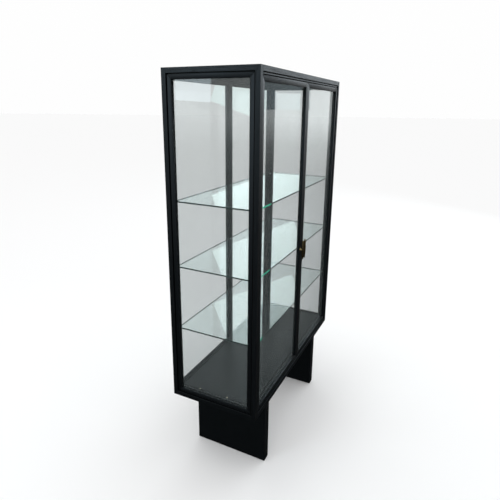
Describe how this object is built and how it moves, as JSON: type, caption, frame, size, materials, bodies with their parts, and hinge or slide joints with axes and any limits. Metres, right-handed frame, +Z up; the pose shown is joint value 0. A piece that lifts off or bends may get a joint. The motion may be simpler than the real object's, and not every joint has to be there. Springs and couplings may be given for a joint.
{
  "type": "china cabinet",
  "caption": "Tall glazed display cabinet in black-stained wood on two slab legs, with glass shelves, a pair of hinged glass doors and brass bar handles.",
  "frame": {"origin": "on the floor, under the middle of the whole object's box, handles included", "axes": "+X to the right as seen from the front, +Y from the doors to the back, +Z up"},
  "size_m": [1, 0.425, 1.74],
  "materials": {
    "black_wood": "black stain, satin, open grain",
    "pane_glass": "clear polished",
    "shelf_glass": "clear, polished green edges",
    "aged_brass": "aged, satin",
    "bush_brass": "turned",
    "steel": "zinc plated",
    "nickel_plate": "nickel plated",
    "nylon": "moulded",
    "clear_rubber": "clear, soft",
    "glide_plastic": "moulded, matt"
  },
  "bodies": {
    "root": {"back_left_beads": "black_wood", "back_left_frame": "black_wood", "back_left_glass": "pane_glass", "back_right_beads": "black_wood", "back_right_frame": "black_wood", "back_right_glass": "pane_glass", "bottom_board": "black_wood", "bottom_rail_back": "black_wood", "bottom_rail_front": "black_wood", "bottom_rail_left": "black_wood", "bottom_rail_right": "black_wood", "catch_magnets": "nickel_plate", "door_head": "black_wood", "door_stop": "black_wood", "floor_board": "black_wood", "floor_border": "black_wood", "floor_pins": "bush_brass", "left_leg": "black_wood", "left_side_beads": "black_wood", "left_side_frame": "black_wood", "left_side_glass": "pane_glass", "leg_bolts": "steel", "leg_glides": "glide_plastic", "leg_inserts": "steel", "pivot_pins": "steel", "pivot_washers": "nylon", "post_back_left": "black_wood", "post_back_right": "black_wood", "post_front_left": "black_wood", "post_front_right": "black_wood", "right_leg": "black_wood", "right_side_beads": "black_wood", "right_side_frame": "black_wood", "right_side_glass": "pane_glass", "shelf_lower": "shelf_glass", "shelf_middle": "shelf_glass", "shelf_pins": "steel", "shelf_upper": "shelf_glass", "top_board": "black_wood", "top_rail_back": "black_wood", "top_rail_front": "black_wood", "top_rail_left": "black_wood", "top_rail_right": "black_wood"},
    "left_door": {"left_door_beads": "black_wood", "left_door_bumpers": "clear_rubber", "left_door_bushes": "bush_brass", "left_door_frame": "black_wood", "left_door_glass": "pane_glass", "left_door_strike": "nickel_plate", "left_handle_bar": "aged_brass", "left_handle_stem": "aged_brass"},
    "right_door": {"right_door_beads": "black_wood", "right_door_bumpers": "clear_rubber", "right_door_bushes": "bush_brass", "right_door_frame": "black_wood", "right_door_glass": "pane_glass", "right_door_strike": "nickel_plate", "right_handle_bar": "aged_brass", "right_handle_stem": "aged_brass"}
  },
  "joints": [
    {"name": "left_door_hinge", "type": "hinge", "parent": "root", "child": "left_door", "pos_m": [-0.4695, -0.1865, 1.04], "axis": [0, 0, -1], "range_deg": [0, 100]},
    {"name": "right_door_hinge", "type": "hinge", "parent": "root", "child": "right_door", "pos_m": [0.4695, -0.1865, 1.04], "axis": [0, 0, 1], "range_deg": [0, 100]}
  ]
}
